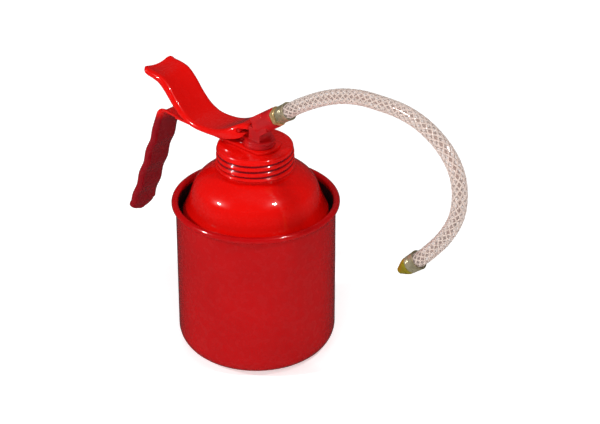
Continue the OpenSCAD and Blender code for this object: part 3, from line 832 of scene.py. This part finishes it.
boss_start = -17.0
collar_place = Matrix.Translation((BLOCK_X - 0.4, 0, 0))
casting_parts = [
    cylinder(9.6, PLATE_Z, PLATE_Z + 2, 96, collar_place, 0.15),
    cylinder(8.8, PLATE_Z, PLATE_Z + 4, 96, collar_place, 0.3),
    cylinder(5.2, PLATE_Z, PLATE_Z + 4, 64, on_rod(), 0.2),
    block(ROD_X, ROD_X + 8, -5.2, 5.2, PLATE_Z, PLATE_Z + 4),
    block(-0.3, 8.5, -5.2, 5.2, PLATE_Z, PLATE_Z + 12),
    cylinder(BOSS_R, boss_start, 0, 80, ON_BOSS, 0.3),
    block(-BOSS_R, BOSS_R, -5.2, 5.2, boss_start, -8, ON_BOSS),
    cylinder(SHANK_R, BARREL_Z1 - 10, PLATE_Z + 0.5, 80, on_rod(), 0.3),
]
head = solid("head_casting", *joined(casting_parts))
remesh = head.modifiers.new("remesh", "REMESH")
remesh.mode = "VOXEL"
remesh.voxel_size = 0.24
smooth = head.modifiers.new("smooth", "SMOOTH")
smooth.factor = 0.5
smooth.iterations = 5
bake(head)
pump_bore = [(0, 115.75), (6, 115.75), (6, BARREL_Z1), (1.65, BARREL_Z1), (1.65, PLATE_Z + 1),
             (2.6, PLATE_Z + 1), (2.6, 141), (0, 141)]
hose_socket = [(0, -15), (2, -15), (2, -5), (4, -5), (4, 3), (0, 3)]
boolean(head, *revolve(pump_bore, 64), place=on_rod())
boolean(head, *revolve(hose_socket, 64), place=ON_BOSS)
finished(head, paint_cast, "head", ("pump_head",), 60)

# ---- springs ----------------------------------------------------------------------


END_CLOSING = 0.055


def coil(r, wire, z0, z1, turns, x, steps=28, sides=10):
    """A round-wire spring whose end turns close up on themselves."""
    m = turns * steps
    verts = []
    for i in range(m + 1):
        a, t = 2 * math.pi * i / steps, i / m
        eased = t - END_CLOSING * math.sin(2 * math.pi * t)
        z = z0 + wire + (z1 - z0 - 2 * wire) * eased
        for k in range(sides):
            w = 2 * math.pi * k / sides
            q = r + wire * math.cos(w)
            verts.append((x + q * math.cos(a), q * math.sin(a), z + wire * math.sin(w)))
    faces = grid_faces(m + 1, sides)
    faces += [tuple(range(sides)), tuple(m * sides + k for k in reversed(range(sides)))]
    return verts, faces


RETURN_Z0, RETURN_Z1, OUTLET_Z0, OUTLET_Z1 = 106.0, 131.55, 144.6, 150.35
return_coil = piece("return_coil", *coil(3, 0.45, RETURN_Z0, RETURN_Z1, 7, ROD_X), zinc,
                    "head", "bright_steel", ("return_spring",))
outlet_coil = piece("outlet_coil", *coil(1.5, 0.25, OUTLET_Z0, OUTLET_Z1, 5, BLOCK_X), zinc,
                    "head", "bright_steel", ("outlet_spring",))
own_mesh(return_coil)
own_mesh(outlet_coil)

# ---- floor and light --------------------------------------------------------------
floor_mesh = bpy.data.meshes.new("floor")
floor_mesh.from_pydata([(-6, -6, 0), (6, -6, 0), (6, 6, 0), (-6, 6, 0)], [], [(0, 1, 2, 3)])
floor = bpy.data.objects.new("floor", floor_mesh)
bpy.context.scene.collection.objects.link(floor)
pale = Mat("pale_floor", (0.93, 0.93, 0.93), 0.7)
pale.b.inputs["Emission Color"].default_value = (1, 1, 1, 1)
pale.b.inputs["Emission Strength"].default_value = 0.45
floor_mesh.materials.append(pale.m)
floor.visible_glossy = False


def lamp(name, direction, dist, size, power, glossy=True):
    data = bpy.data.lights.new(name, "AREA")
    data.shape = "RECTANGLE"
    data.size, data.size_y = size
    data.energy = power
    ob = bpy.data.objects.new(name, data)
    bpy.context.scene.collection.objects.link(ob)
    d = Vector(direction).normalized()
    ob.location = Vector((0.02, 0, 0.10)) + d * dist
    ob.rotation_euler = d.to_track_quat("Z", "Y").to_euler()
    ob.visible_glossy = glossy
    return ob


lamp("softbox_left", (-0.45, -0.70, 0.554), 1.6, (0.17, 0.13), 11)
lamp("softbox_right", (0.564, 0.05, 0.824), 1.6, (0.20, 0.15), 9)
lamp("front_fill", (0.6, -0.75, 0.60), 2.6, (1.8, 0.6), 30, glossy=False)
lamp("overhead", (0, -0.1, 1), 2.2, (1.4, 1.4), 9, glossy=False)
lamp("rear_fill", (-0.6, 0.7, 0.5), 2.6, (1.6, 1.6), 7, glossy=False)

world = bpy.data.worlds.new("studio")
bpy.context.scene.world = world
world.use_nodes = True
world.node_tree.nodes["Background"].inputs["Color"].default_value = (0.9, 0.92, 0.95, 1)
world.node_tree.nodes["Background"].inputs["Strength"].default_value = 0.04
bpy.context.scene.view_settings.view_transform = "Standard"
